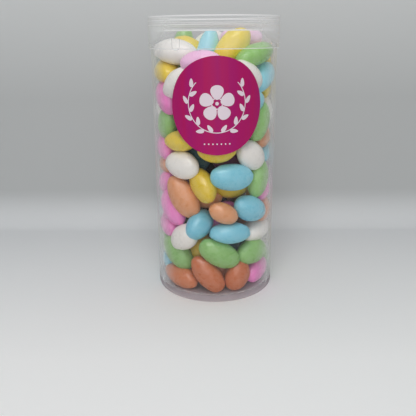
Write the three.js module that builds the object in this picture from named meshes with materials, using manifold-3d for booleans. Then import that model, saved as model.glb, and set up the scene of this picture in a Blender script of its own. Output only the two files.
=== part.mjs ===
// A clear plastic jar of sugared almonds, with its slip-on lid and a round paper sticker.
// Millimetres, +Z up. The origin is the middle of the foot, on the surface the jar stands on,
// and -Y is the front, where the sticker is.
import * as THREE from 'three';
import { mergeVertices } from 'three/addons/utils/BufferGeometryUtils.js';
import Module from 'manifold-3d';

const wasm = await Module();
wasm.setup();

// Jar body: a straight tube with a raised floor inside a foot ring.
const JAR_RADIUS = 38;
const WALL = 1.2;
const JAR_HEIGHT = 163.2;
const LIP_ROUND = 0.5;
const FLOOR_TOP = 4.4;
const FLOOR_THICKNESS = 1.6;
const FLOOR_ROUND = 2.2;
const FOOT_WIDTH = 1.3;
const HEEL_ROUND = 1.8;

// Lid: a skirt that slips over the mouth, and a panel sunk below the top rim for stacking.
const FIT_GAP = 0.3;
const SKIRT = 1.05;
const SKIRT_BOTTOM = 152.8;
const LID_TOP = 170.6;
const PANEL_TOP = 166;
const PANEL_THICKNESS = 1.2;
const RIM_WIDTH = 1.5;
const RIM_ROUND = 0.6;
const LEDGE_WIDTH = 1.5;

// Thumb tab: a small U in relief on the skirt, left of the front.
const TAB_WIDTH = 5.2;
const TAB_TOP = 158.9;
const TAB_BOTTOM = 152.2;
const TAB_PROUD = 0.5;
const TAB_AZIMUTH = -32;

// Sticker: a disc of paper bent round the front of the jar.
const STICKER_RADIUS = 27.5;
const STICKER_THICKNESS = 0.25;
const STICKER_HEIGHT = 122.1;
const STICKER_AZIMUTH = 2.4;
const STICKER_RINGS = 4;

// Sugared almonds, and how they lie against the wall of the jar.
const ALMOND = { length: 25.5, width: 17, thickness: 12.6 };
const BLUNTNESS = 0.13;
const HEAP_RADIUS = JAR_RADIUS - WALL - FIT_GAP;
const HEAP_BOTTOM = FLOOR_TOP + FIT_GAP;
const HEAP_TOP = PANEL_TOP - PANEL_THICKNESS - FIT_GAP;
const CORE_RADIUS = 33.4;
const CORE_TOP = 147.5;
const RINGS = 9;
const RING_STEP = 16.4;
const FIRST_RING = 13.6;
const ALMONDS_IN_RING = 8;
const MOST_LEAN = 50;
const TOP_RING_LEAN = 12;
const SIZE_SPREAD = 0.07;
const BEARING_SPREAD = 5;
const HEIGHT_SPREAD = 2;

const PLASTIC_COLOUR = 0xe9ecea;
const STICKER_COLOUR = 0xa81c64;
const SUGAR_COLOUR = 0xd9c7bd;

const ROUND_STEPS = 48;
const CORE_STEPS = 14;
const STICKER_STEPS = 36;
const ARC_DIVISIONS = 1;
const DEGREE = Math.PI / 180;
const RIGHT_ANGLE = Math.PI / 2;

const material = (color, roughness) => new THREE.MeshStandardMaterial({ color, roughness, metalness: 0 });
const clearPlastic = () => {
  const plastic = material(PLASTIC_COLOUR, 0.08);
  plastic.transparent = true;
  plastic.opacity = 0.3;
  return plastic;
};

// The same number between -1 and 1 every time for the same seed.
function scatter(seed) {
  const wave = Math.sin(seed * 127.1 + 11.7) * 43758.5453;
  return 2 * (wave - Math.floor(wave)) - 1;
}

// A point at a bearing round the jar: 0 is the front (-Y) and positive turns towards +X.
function bearing(degrees, radius, height) {
  const angle = degrees * DEGREE;
  return new THREE.Vector3(radius * Math.sin(angle), -radius * Math.cos(angle), height);
}

// An outline in (radius, height), turned round the Z axis.
function turned(path, steps) {
  const geometry = new THREE.LatheGeometry(path.getPoints(ARC_DIVISIONS), steps);
  return geometry.rotateX(RIGHT_ANGLE);
}

function solidOf(geometry) {
  const bare = geometry.clone();
  bare.deleteAttribute('normal');
  bare.deleteAttribute('uv');
  const merged = mergeVertices(bare, 1e-4);
  const corners = [];
  for (let first = 0; first < merged.index.count; first += 3) {
    const triangle = [0, 1, 2].map((corner) => merged.index.getX(first + corner));
    if (new Set(triangle).size === 3) corners.push(...triangle);
  }
  return new wasm.Manifold(new wasm.Mesh({
    numProp: 3,
    vertProperties: new Float32Array(merged.attributes.position.array),
    triVerts: new Uint32Array(corners),
  }));
}

function geometryOf(solid) {
  const mesh = solid.getMesh();
  const geometry = new THREE.BufferGeometry();
  geometry.setAttribute('position', new THREE.BufferAttribute(mesh.vertProperties, 3));
  geometry.setIndex(new THREE.BufferAttribute(mesh.triVerts, 1));
  geometry.computeVertexNormals();
  return geometry;
}

function named(name, geometry, finish) {
  const mesh = new THREE.Mesh(geometry, finish);
  mesh.name = name;
  return mesh;
}

// Jar body ----------------------------------------------------------------------------------

function jarBody() {
  const bore = JAR_RADIUS - WALL;
  const underFloor = FLOOR_TOP - FLOOR_THICKNESS;
  const footOuter = JAR_RADIUS - HEEL_ROUND;
  const footInner = footOuter - FOOT_WIDTH;
  const outline = new THREE.Path();
  outline.moveTo(0, underFloor);
  outline.lineTo(footInner - HEEL_ROUND / 2, underFloor);
  outline.lineTo(footInner, 0);
  outline.lineTo(footOuter, 0);
  outline.absarc(footOuter, HEEL_ROUND, HEEL_ROUND, -RIGHT_ANGLE, 0, false);
  outline.lineTo(JAR_RADIUS, JAR_HEIGHT - LIP_ROUND);
  outline.absarc(JAR_RADIUS - LIP_ROUND, JAR_HEIGHT - LIP_ROUND, LIP_ROUND, 0, RIGHT_ANGLE, false);
  outline.absarc(bore + LIP_ROUND, JAR_HEIGHT - LIP_ROUND, LIP_ROUND, RIGHT_ANGLE, Math.PI, false);
  outline.lineTo(bore, FLOOR_TOP + FLOOR_ROUND);
  outline.absarc(bore - FLOOR_ROUND, FLOOR_TOP + FLOOR_ROUND, FLOOR_ROUND, 0, -RIGHT_ANGLE, true);
  outline.lineTo(0, FLOOR_TOP);
  return named('jar_body', turned(outline, ROUND_STEPS), clearPlastic());
}

// Lid -----------------------------------------------------------------------------------------

function lidShell() {
  const skirtInner = JAR_RADIUS + FIT_GAP;
  const skirtOuter = skirtInner + SKIRT;
  const rimInner = skirtOuter - RIM_WIDTH;
  const underPanel = PANEL_TOP - PANEL_THICKNESS;
  const ledgeInner = skirtInner - LEDGE_WIDTH;
  const ledgeBottom = JAR_HEIGHT + FIT_GAP;
  const outline = new THREE.Path();
  outline.moveTo(0, underPanel);
  outline.lineTo(ledgeInner, underPanel);
  outline.lineTo(ledgeInner, ledgeBottom);
  outline.lineTo(skirtInner, ledgeBottom);
  outline.lineTo(skirtInner, SKIRT_BOTTOM);
  outline.lineTo(skirtOuter, SKIRT_BOTTOM);
  outline.lineTo(skirtOuter, LID_TOP - RIM_ROUND);
  outline.absarc(skirtOuter - RIM_ROUND, LID_TOP - RIM_ROUND, RIM_ROUND, 0, RIGHT_ANGLE, false);
  outline.absarc(rimInner + RIM_ROUND, LID_TOP - RIM_ROUND, RIM_ROUND, RIGHT_ANGLE, Math.PI, false);
  outline.lineTo(rimInner, PANEL_TOP);
  outline.lineTo(0, PANEL_TOP);
  return turned(outline, ROUND_STEPS);
}

function thumbTab() {
  const half = TAB_WIDTH / 2;
  const skirtOuter = JAR_RADIUS + FIT_GAP + SKIRT;
  const outline = new THREE.Shape();
  outline.moveTo(-half, TAB_TOP);
  outline.lineTo(-half, TAB_BOTTOM + half);
  outline.absarc(0, TAB_BOTTOM + half, half, Math.PI, 2 * Math.PI, false);
  outline.lineTo(half, TAB_TOP);
  const depth = SKIRT / 2 + TAB_PROUD;
  const block = new THREE.ExtrudeGeometry(outline, { depth, bevelEnabled: false, curveSegments: 4 });
  block.rotateX(RIGHT_ANGLE);
  block.translate(0, -(skirtOuter - SKIRT / 2), 0);
  return block.rotateZ(TAB_AZIMUTH * DEGREE);
}

function lid() {
  const joined = solidOf(lidShell()).add(solidOf(thumbTab()));
  return named('lid', geometryOf(joined), clearPlastic());
}

// Sticker -------------------------------------------------------------------------------------

// A flat coin with rings of points, then bent so that its middle is at the sticker's bearing.
function sticker() {
  const inner = JAR_RADIUS + FIT_GAP;
  const coin = [];
  for (let ring = 0; ring <= STICKER_RINGS; ring += 1) {
    coin.push(new THREE.Vector2((STICKER_RADIUS * ring) / STICKER_RINGS, 0));
  }
  for (let ring = STICKER_RINGS; ring >= 0; ring -= 1) {
    coin.push(new THREE.Vector2((STICKER_RADIUS * ring) / STICKER_RINGS, STICKER_THICKNESS));
  }
  const geometry = new THREE.LatheGeometry(coin, STICKER_STEPS);
  const position = geometry.attributes.position;
  for (let index = 0; index < position.count; index += 1) {
    const across = position.getX(index);
    const up = -position.getZ(index);
    const out = position.getY(index);
    const degrees = across / inner / DEGREE + STICKER_AZIMUTH;
    const place = bearing(degrees, inner + out, STICKER_HEIGHT + up);
    position.setXYZ(index, place.x, place.y, place.z);
  }
  geometry.computeVertexNormals();
  return named('sticker', geometry, material(STICKER_COLOUR, 0.4));
}

// Heap of sugared almonds -----------------------------------------------------------------------

// One almond with its long axis on X, its width on Z and its thickness on Y, blunter at one end.
function almondShape(size) {
  const shape = new THREE.IcosahedronGeometry(1, 1);
  const position = shape.attributes.position;
  for (let index = 0; index < position.count; index += 1) {
    const along = position.getX(index);
    const taper = 1 - BLUNTNESS * along;
    position.setXYZ(
      index,
      (along * size * ALMOND.length) / 2,
      (position.getY(index) * taper * size * ALMOND.thickness) / 2,
      (position.getZ(index) * taper * size * ALMOND.width) / 2,
    );
  }
  return shape;
}

// An almond that leans by an angle up from level. Without a turn its flat side faces outwards.
function almondAt({ degrees, radius, height, lean, size, turn = 0 }) {
  const place = bearing(degrees, radius, height);
  const shape = almondShape(size);
  shape.rotateY(-lean * DEGREE);
  shape.rotateZ((degrees + turn) * DEGREE);
  shape.translate(place.x, place.y, place.z);
  return solidOf(shape);
}

// Rings of almonds that touch the wall, every other ring turned by half a step.
function wallAlmonds() {
  const almonds = [];
  for (let ring = 0; ring < RINGS; ring += 1) {
    const mostLean = ring < RINGS - 1 ? MOST_LEAN : TOP_RING_LEAN;
    for (let place = 0; place < ALMONDS_IN_RING; place += 1) {
      const seed = ring * ALMONDS_IN_RING + place;
      const size = 1 + SIZE_SPREAD * scatter(seed + 0.3);
      const step = 360 / ALMONDS_IN_RING;
      almonds.push(almondAt({
        degrees: step * (place + 0.5 * (ring % 2)) + BEARING_SPREAD * scatter(seed + 0.5),
        radius: HEAP_RADIUS - (size * ALMOND.thickness * (1 + BLUNTNESS / 2)) / 2,
        height: FIRST_RING + ring * RING_STEP + HEIGHT_SPREAD * scatter(seed + 0.7),
        lean: mostLean * scatter(seed + 0.9),
        size,
      }));
    }
  }
  return almonds;
}

// The almonds in the mouth, four of which stand up almost to the lid.
function topAlmonds() {
  return [
    { degrees: -61, radius: 24.6, height: 149.6, lean: -8, turn: 45, size: 1.06 },
    { degrees: -117, radius: 22, height: 151.2, lean: 78, turn: 115, size: 0.96 },
    { degrees: -85, radius: 15.2, height: 149.8, lean: -35, turn: 80, size: 0.88 },
    { degrees: -19, radius: 11.4, height: 150.3, lean: 76, turn: 20, size: 1 },
    { degrees: -160, radius: 10.9, height: 152.4, lean: 25, turn: 170, size: 0.88 },
    { degrees: 33, radius: 19, height: 152.6, lean: 46, turn: -26, size: 1.04 },
    { degrees: 101, radius: 17.2, height: 156.6, lean: 0, turn: -100, size: 1 },
    { degrees: 54, radius: 27.4, height: 148.6, lean: 15, turn: -18, size: 1.04 },
    { degrees: -12, radius: 29.6, height: 144.4, lean: -4, size: 1 },
  ].map(almondAt);
}

// A cylinder between two heights.
function drum(radius, bottom, top, steps) {
  const geometry = new THREE.CylinderGeometry(radius, radius, top - bottom, steps);
  geometry.rotateX(RIGHT_ANGLE);
  return solidOf(geometry.translate(0, 0, (top + bottom) / 2));
}

function almondHeap() {
  const core = drum(CORE_RADIUS, HEAP_BOTTOM, CORE_TOP, CORE_STEPS);
  const room = drum(HEAP_RADIUS, HEAP_BOTTOM, HEAP_TOP, ROUND_STEPS);
  const heap = wasm.Manifold.union([core, ...wallAlmonds(), ...topAlmonds()]).intersect(room);
  return named('almonds', geometryOf(heap), material(SUGAR_COLOUR, 0.45));
}

const jar = new THREE.Group();
jar.add(jarBody(), lid(), sticker(), almondHeap());

export default jar;
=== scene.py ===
# %% [markdown]
# # A clear jar of sugared almonds
# A straight clear tube with a slip-on lid, a round sticker, and a loose heap of sugared
# almonds in six pastel colours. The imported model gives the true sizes. Here every part of it
# gets its finished shape and its finish, in metres, in the same frame.

import math
import random

import bpy
import numpy as np
from mathutils import Matrix, Vector


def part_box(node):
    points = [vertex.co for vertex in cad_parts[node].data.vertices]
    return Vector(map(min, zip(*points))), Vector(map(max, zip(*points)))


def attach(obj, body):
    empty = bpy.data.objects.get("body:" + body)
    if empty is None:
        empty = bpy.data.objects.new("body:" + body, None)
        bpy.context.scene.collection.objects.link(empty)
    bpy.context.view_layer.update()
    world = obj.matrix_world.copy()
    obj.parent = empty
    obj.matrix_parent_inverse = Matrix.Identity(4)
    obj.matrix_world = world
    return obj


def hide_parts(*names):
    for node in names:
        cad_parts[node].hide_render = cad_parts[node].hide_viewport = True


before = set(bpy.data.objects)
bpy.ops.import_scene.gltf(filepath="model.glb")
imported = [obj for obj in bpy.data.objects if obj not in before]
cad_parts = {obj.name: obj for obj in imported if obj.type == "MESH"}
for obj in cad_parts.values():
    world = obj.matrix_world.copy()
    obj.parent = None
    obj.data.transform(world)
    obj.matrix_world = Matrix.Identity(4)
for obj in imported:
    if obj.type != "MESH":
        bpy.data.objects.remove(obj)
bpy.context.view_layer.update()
print("nodes:", sorted(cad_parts))

# %% [markdown]
# ## Sizes
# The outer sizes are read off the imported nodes, so the finished parts fit them. The finer
# sizes, such as the wall and the rounded lip, are given here.

# %% Sizes in metres
MM = 0.001
jar_low, jar_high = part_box("jar_body")
lid_low, lid_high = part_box("lid")
sticker_low, sticker_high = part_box("sticker")
heap_low, heap_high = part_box("almonds")

JAR_RADIUS = jar_high.x
JAR_HEIGHT = jar_high.z
WALL = 0.6 * MM
LIP_ROUND = 0.28 * MM
FLOOR_TOP = heap_low.z - 0.3 * MM
FLOOR_THICKNESS = 1.6 * MM
FLOOR_ROUND = 2.2 * MM
FOOT_WIDTH = 1.3 * MM
HEEL_ROUND = 1.8 * MM
LID_RADIUS = lid_high.x
LID_TOP = lid_high.z
FIT_GAP = 0.3 * MM
PANEL_TOP = 166 * MM
PANEL_THICKNESS = 1.2 * MM
print(f"jar {JAR_RADIUS / MM:.1f} mm in radius, {JAR_HEIGHT / MM:.1f} mm tall, lid to {LID_TOP / MM:.1f} mm")

# %% [markdown]
# ## The tools on the bench
# By hand one clicks an object, presses Tab and picks its faces. In code the same steps are
# small functions: select only this, open it for editing, choose its faces by their place.
# They call Blender's own operators, so every step can be repeated with the mouse.

# %% Selecting and editing
HAIR = 0.01 * MM


def only(*pieces):
    """Selects these objects and nothing else."""
    bpy.ops.object.select_all(action="DESELECT")
    for piece in pieces:
        piece.select_set(True)
    bpy.context.view_layer.objects.active = pieces[0]


def started(name):
    """Names the primitive that was just added."""
    piece = bpy.context.object
    piece.name = piece.data.name = name
    return piece


def edit(piece, select="SELECT", mode="VERT"):
    """Opens one object in edit mode, with all or nothing selected."""
    only(piece)
    bpy.ops.object.mode_set(mode="EDIT")
    bpy.ops.mesh.select_mode(type=mode)
    bpy.ops.mesh.select_all(action=select)


def leave_edit():
    bpy.ops.object.mode_set(mode="OBJECT")


def choose(piece, test, mode="VERT"):
    """Opens one object in edit mode with only the vertices or faces that pass a test selected."""
    edit(piece, "DESELECT", mode)
    leave_edit()
    elements = piece.data.vertices if mode == "VERT" else piece.data.polygons
    for element in elements:
        element.select = bool(test(element))
    bpy.ops.object.mode_set(mode="EDIT")


# %% Turning and applying
def turn_round(bearing):
    """Turns what is selected round the jar's axis, from the front towards the right."""
    bpy.ops.transform.rotate(value=-bearing, orient_axis="Z", center_override=(0, 0, 0))


def apply_modifier(piece, kind, **settings):
    """Adds one modifier, sets it and applies it."""
    only(piece)
    bpy.ops.object.modifier_add(type=kind)
    modifier = piece.modifiers[-1]
    for key, value in settings.items():
        setattr(modifier, key, value)
    bpy.ops.object.modifier_apply(modifier=modifier.name)


# %% [markdown]
# ## Camera
# The camera stands in front of the jar at about the height of its shoulder and looks down
# on it by eighteen degrees. Its place and lens follow from how the round edges of the jar
# open up into ellipses towards the foot.

# %% Camera
CAMERA_DISTANCE = 335.7 * MM
CAMERA_HEIGHT = 160.8 * MM
LOOK_DOWN = math.radians(18.21)
LOOK_LEFT = math.radians(0.76)
CAMERA_ROLL = math.radians(-0.5)
LENS = 45.8

bpy.ops.object.camera_add()
camera = bpy.context.object
camera.name = "camera"
camera.data.lens = LENS
camera.matrix_world = (
    Matrix.Translation((0, -CAMERA_DISTANCE, CAMERA_HEIGHT))
    @ Matrix.Rotation(LOOK_LEFT, 4, "Z")
    @ Matrix.Rotation(math.pi / 2 - LOOK_DOWN, 4, "X")
    @ Matrix.Rotation(CAMERA_ROLL, 4, "Z")
)
bpy.context.scene.camera = camera
bpy.context.scene.view_settings.view_transform = "Standard"
print("camera at", tuple(round(v, 3) for v in camera.location))

# %% [markdown]
# ## Floor and light
# The jar stands on a pale sheet that sweeps up behind it with no edge. The sheet is a plane
# whose back edge is pulled up and whose fold is then rounded with a bevel. A curved wall
# could also be swept along a path, but the bevel keeps the bend's radius in one number.

# %% Sweep
SWEEP_WIDTH = 3.0
SWEEP_FRONT = -0.17
SWEEP_BACK = 0.115
SWEEP_HEIGHT = 0.75
SWEEP_BEND = 0.025

bpy.ops.object.select_all(action="DESELECT")
bpy.ops.mesh.primitive_plane_add(size=1)
sweep = started("sweep")
edit(sweep)
bpy.ops.transform.resize(value=(SWEEP_WIDTH, SWEEP_BACK - SWEEP_FRONT, 1))
bpy.ops.transform.translate(value=(0, (SWEEP_BACK + SWEEP_FRONT) / 2, 0))
leave_edit()
choose(sweep, lambda vertex: vertex.co.y > 0)
bpy.ops.mesh.extrude_edges_move(TRANSFORM_OT_translate={"value": (0, 0, SWEEP_HEIGHT)})
leave_edit()
apply_modifier(sweep, "BEVEL", width=SWEEP_BEND, segments=16, limit_method="ANGLE", use_clamp_overlap=False)
only(sweep)
bpy.ops.object.shade_smooth()
print("sweep has", len(sweep.data.polygons), "faces")

# %% [markdown]
# Light shapes sugar more than its colour does. One panel above and in front gives the bright
# tops and dark undersides, and a weak one low in front fills the faces. A single lamp would
# be simpler, but its small hard highlights would give the room away in every almond.

# %% Lights
HEAP_MIDDLE = (0, -0.03, 0.07)
ROOM_COLOUR = (0.97, 0.99, 1.0, 1)
ROOM_BRIGHTNESS = 0.27


def area_light(name, place, target, width, height, brightness):
    """A soft panel that looks at a point, as bright as this to the eye."""
    bpy.ops.object.light_add(type="AREA", location=place)
    light = bpy.context.object
    light.name = name
    light.data.shape = "RECTANGLE"
    light.data.size = width
    light.data.size_y = height
    light.data.energy = brightness * math.pi * width * height
    light.rotation_euler = (Vector(target) - Vector(place)).to_track_quat("-Z", "Y").to_euler()
    print(name, f"gives {light.data.energy:.2f} watts from", place)


area_light("overhead_panel", (-0.05, -0.47, 0.8), HEAP_MIDDLE, 0.42, 0.42, 5.1)
area_light("front_panel", (0.02, -0.9, 0.35), HEAP_MIDDLE, 0.8, 0.7, 1.2)
world = bpy.data.worlds.new("room")
bpy.context.scene.world = world
world.use_nodes = True
room = world.node_tree.nodes["Background"]
room.inputs["Color"].default_value = ROOM_COLOUR
room.inputs["Strength"].default_value = ROOM_BRIGHTNESS

# %% [markdown]
# ## The jar and the lid
# Both are round, so they are turned: one point is extruded along half of the section, from
# the axis out, up, over the lip and back to the axis, and the outline is then spun round.
# A wall with a real inside and outside bends light as moulded plastic does.

# %% Turning
TURN_STEPS = 160
ARC_STEPS = 6
SHARP_EDGE = math.radians(40)


def arc(centre, radius, start, end):
    """Points on a round corner of the outline, from one angle to another in degrees."""
    angles = [math.radians(start + (end - start) * step / ARC_STEPS) for step in range(ARC_STEPS + 1)]
    return [(centre[0] + radius * math.cos(a), centre[1] + radius * math.sin(a)) for a in angles]


def turned(name, outline):
    """One point extruded along the outline of (radius, height), then spun round Z."""
    bpy.ops.object.select_all(action="DESELECT")
    bpy.ops.mesh.primitive_plane_add(size=MM)
    piece = started(name)
    edit(piece)
    bpy.ops.mesh.merge(type="CENTER")
    points = [Vector((radius, 0, height)) for radius, height in outline]
    bpy.ops.transform.translate(value=points[0])
    for before, after in zip(points, points[1:]):
        bpy.ops.mesh.extrude_vertices_move(TRANSFORM_OT_translate={"value": after - before})
    bpy.ops.mesh.select_all(action="SELECT")
    bpy.ops.mesh.spin(steps=TURN_STEPS, angle=2 * math.pi, center=(0, 0, 0), axis=(0, 0, 1))
    bpy.ops.mesh.select_all(action="SELECT")
    bpy.ops.mesh.remove_doubles(threshold=HAIR)
    bpy.ops.mesh.normals_make_consistent(inside=False)
    leave_edit()
    bpy.ops.object.shade_smooth_by_angle(angle=SHARP_EDGE)
    print(name, "has", len(piece.data.polygons), "faces")
    return piece


# %% [markdown]
# The tube stands on a foot ring, with a raised floor inside it. The outline starts on the
# axis under the floor and goes round the heel, up the wall, over the lip and back down to the
# axis. A cylinder with a Solidify would be quicker, but it has neither foot nor lip.

# %% Jar body
bore = JAR_RADIUS - WALL
under_floor = FLOOR_TOP - FLOOR_THICKNESS
foot_outer = JAR_RADIUS - HEEL_ROUND
foot_inner = foot_outer - FOOT_WIDTH
lip = JAR_HEIGHT - LIP_ROUND
jar = turned("jar", [
    (0, under_floor),
    (foot_inner - HEEL_ROUND / 2, under_floor),
    (foot_inner, 0),
    *arc((foot_outer, HEEL_ROUND), HEEL_ROUND, -90, 0),
    *arc((JAR_RADIUS - LIP_ROUND, lip), LIP_ROUND, 0, 90),
    *arc((bore + LIP_ROUND, lip), LIP_ROUND, 90, 180),
    *arc((bore - FLOOR_ROUND, FLOOR_TOP + FLOOR_ROUND), FLOOR_ROUND, 0, -90),
    (0, FLOOR_TOP),
])

# %% [markdown]
# The lid is a skirt that slips over the mouth, with a panel sunk below its rim so that jars
# can be stacked. A ledge inside rests on the lip. It is turned in the same way as the tube.

# %% Lid
SKIRT_BOTTOM = 152.8 * MM
RIM_WIDTH = 1.5 * MM
RIM_ROUND = 0.6 * MM
EDGE_ROUND = 0.3 * MM
LEDGE_WIDTH = 1.5 * MM
skirt_inner = JAR_RADIUS + FIT_GAP
rim_inner = LID_RADIUS - RIM_WIDTH
under_panel = PANEL_TOP - PANEL_THICKNESS
rim = LID_TOP - RIM_ROUND
lid = turned("lid_shell", [
    (0, under_panel),
    (skirt_inner - LEDGE_WIDTH, under_panel),
    (skirt_inner - LEDGE_WIDTH, JAR_HEIGHT + FIT_GAP),
    (skirt_inner, JAR_HEIGHT + FIT_GAP),
    *arc((skirt_inner + EDGE_ROUND, SKIRT_BOTTOM + EDGE_ROUND), EDGE_ROUND, 180, 270),
    *arc((LID_RADIUS - EDGE_ROUND, SKIRT_BOTTOM + EDGE_ROUND), EDGE_ROUND, -90, 0),
    *arc((LID_RADIUS - RIM_ROUND, rim), RIM_ROUND, 0, 90),
    *arc((rim_inner + RIM_ROUND, rim), RIM_ROUND, 90, 180),
    *arc((rim_inner - RIM_ROUND, PANEL_TOP + RIM_ROUND), RIM_ROUND, 0, -90),
    (0, PANEL_TOP),
])

# %% [markdown]
# The thumb tab is a small U in relief at the lower edge of the skirt. It is a thin block whose
# two lower corners are bevelled until they meet in a half round, with its front edges eased.
# It is joined to the skirt by a boolean, so that the lid stays one piece of plastic.

# %% Thumb tab
TAB_WIDTH = 5.2 * MM
TAB_TOP = 158.9 * MM
TAB_BOTTOM = 152.2 * MM
TAB_PROUD = 0.45 * MM
TAB_DEPTH = 0.9 * MM
TAB_EASE = 0.12 * MM
TAB_BEARING = math.radians(-32)
tab_middle = LID_RADIUS + TAB_PROUD - TAB_DEPTH / 2

bpy.ops.object.select_all(action="DESELECT")
bpy.ops.mesh.primitive_cube_add(size=1)
tab = started("tab")
edit(tab)
bpy.ops.transform.resize(value=(TAB_WIDTH, TAB_DEPTH, TAB_TOP - TAB_BOTTOM), center_override=(0, 0, 0))
bpy.ops.transform.translate(value=(0, -tab_middle, (TAB_TOP + TAB_BOTTOM) / 2))
leave_edit()
print("the tab starts as a block of", tuple(round(size / MM, 2) for size in tab.dimensions), "mm")

# %% Rounding the tab and joining it to the skirt
edit(tab, "DESELECT", "EDGE")
leave_edit()
low = TAB_BOTTOM + HAIR
for edge in tab.data.edges:
    ends = [tab.data.vertices[index].co for index in edge.vertices]
    edge.select = ends[0].z < low and ends[1].z < low and abs(ends[0].x - ends[1].x) < HAIR
bpy.ops.object.mode_set(mode="EDIT")
bpy.ops.mesh.bevel(offset=TAB_WIDTH / 2 - 2 * HAIR, segments=10, affect="EDGES")
leave_edit()
choose(tab, lambda face: face.normal.y < -0.9, "FACE")
bpy.ops.mesh.bevel(offset=TAB_EASE, segments=2, affect="EDGES")
bpy.ops.mesh.select_all(action="SELECT")
turn_round(TAB_BEARING)
leave_edit()
middle = sum((vertex.co for vertex in tab.data.vertices), Vector()) / len(tab.data.vertices)
print("tab stands at", tuple(round(v / MM, 1) for v in middle), "mm")
apply_modifier(lid, "BOOLEAN", object=tab, operation="UNION", solver="EXACT")
bpy.data.objects.remove(tab)
print("lid with its tab has", len(lid.data.polygons), "faces")

# %% [markdown]
# ## The sticker
# The sticker is a round of coated paper. It could be cut out of the tube's own wall, but then
# its edge would have no thickness. It is made flat instead, as it was printed: a disc with
# rings of faces inset towards its middle, so that it can bend. The bend turns it round the
# tube by its own width, as when it was smoothed on, and it is then lifted to its place.

# %% Bending flat pieces round the tube
GLUE_GAP = 0.03 * MM
PAPER = 0.22 * MM
STICKER_RADIUS = (sticker_high.z - sticker_low.z) / 2
STICKER_HEIGHT = (sticker_high.z + sticker_low.z) / 2
STICKER_BEARING = math.radians(2.4)
bend_radius = JAR_RADIUS + GLUE_GAP


def bent_on(piece):
    """Bends a flat piece that faces -Y round the tube and lifts it to the sticker's place."""
    across = [vertex.co.x for vertex in piece.data.vertices]
    angle = (max(across) - min(across)) / bend_radius
    apply_modifier(piece, "SIMPLE_DEFORM", deform_method="BEND", deform_axis="Z", angle=angle)
    edit(piece)
    bpy.ops.transform.translate(value=(0, -bend_radius, STICKER_HEIGHT))
    turn_round(STICKER_BEARING)
    bpy.ops.mesh.normals_make_consistent(inside=False)
    leave_edit()
    bpy.ops.object.shade_smooth_by_angle(angle=SHARP_EDGE)
    radii = [math.hypot(vertex.co.x, vertex.co.y) / MM for vertex in piece.data.vertices]
    print(piece.name, f"lies {min(radii):.2f} to {max(radii):.2f} mm from the axis,", len(radii), "vertices")


# %% Sticker
def flat_disc(name, radius, sides, rings, thickness, step=None):
    """A disc that faces -Y with its back on Y = 0 and rings of faces inset to its middle."""
    bpy.ops.object.select_all(action="DESELECT")
    bpy.ops.mesh.primitive_cylinder_add(
        vertices=sides, radius=radius, depth=thickness, rotation=(math.pi / 2, 0, 0))
    bpy.ops.object.transform_apply(rotation=True)
    piece = started(name)
    for side in (-1, 1):
        choose(piece, lambda face: face.normal.y * side > 0.9, "FACE")
        for ring in range(rings):
            bpy.ops.mesh.inset(thickness=step or radius / (rings + 1))
        bpy.ops.mesh.poke()
        leave_edit()
    edit(piece)
    bpy.ops.transform.translate(value=(0, -thickness / 2, 0))
    leave_edit()
    return piece


STICKER_SIDES = 120
STICKER_RINGS = 14
sticker = flat_disc("sticker_paper", STICKER_RADIUS, STICKER_SIDES, STICKER_RINGS, PAPER)
bent_on(sticker)

# %% [markdown]
# The print is plain white ink: an almond blossom inside a laurel wreath, with a row of dots
# under it. It could be an image, but shapes stay sharp at any distance. Each mark is a thin
# flat piece: a petal is a disc that a taper turns into an egg, a leaf is a narrower egg, and
# the stem is a ring cut open at the top. All are placed flat, joined, and bent like the paper.

# %% Places for the marks
INK = 0.02 * MM
INK_LIFT = 0.05 * MM
BLOSSOM_HEIGHT = 1.8
marks = []


def placed(piece, x, z, angle=0):
    """Turns a flat mark to the left by an angle, moves it to its place on the paper and keeps it."""
    edit(piece)
    bpy.ops.transform.rotate(value=math.radians(angle), orient_axis="Y", center_override=(0, 0, 0))
    bpy.ops.transform.translate(value=(x * MM, -PAPER - INK_LIFT, z * MM))
    leave_edit()
    marks.append(piece)


def on_circle(radius, angle):
    """The place at this angle on a circle round the blossom."""
    turn = math.radians(angle)
    return radius * math.cos(turn), radius * math.sin(turn) + BLOSSOM_HEIGHT


# %% Shapes of the marks
MARK_SIDES = 28
MARK_RINGS = 2
MARK_INSET = 0.14 * MM
STEM_SIDES = 72


def egg(length, width, taper=0):
    """A flat egg along X, this long and wide in mm, its blunt end at +X."""
    piece = flat_disc("mark", MM / 2, MARK_SIDES, MARK_RINGS, INK, MARK_INSET)
    apply_modifier(piece, "SIMPLE_DEFORM", deform_method="TAPER", deform_axis="X", factor=taper)
    edit(piece)
    bpy.ops.transform.resize(value=(length, 1, width))
    leave_edit()
    return piece


def open_ring(radius, width, top):
    """A flat ring without the part that is higher than this."""
    bpy.ops.object.select_all(action="DESELECT")
    bpy.ops.mesh.primitive_torus_add(
        major_radius=radius * MM, minor_radius=width * MM / 2, major_segments=STEM_SIDES, minor_segments=6,
        rotation=(math.pi / 2, 0, 0))
    bpy.ops.object.transform_apply(rotation=True)
    piece = started("mark")
    edit(piece)
    bpy.ops.transform.resize(value=(1, INK / (width * MM), 1), center_override=(0, 0, 0))
    bpy.ops.transform.translate(value=(0, -INK / 2, 0))
    bpy.ops.mesh.bisect(plane_co=(0, 0, top * MM), plane_no=(0, 0, 1), use_fill=True, clear_outer=True)
    leave_edit()
    return piece


# %% [markdown]
# Five petals stand round a heart, with a seed between each two. The leaves climb both sides
# of the stem in turn outside and inside it, and each leans away from it. One side's leaf is
# placed twice, the second time the other way round, so that the wreath is even.

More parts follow.
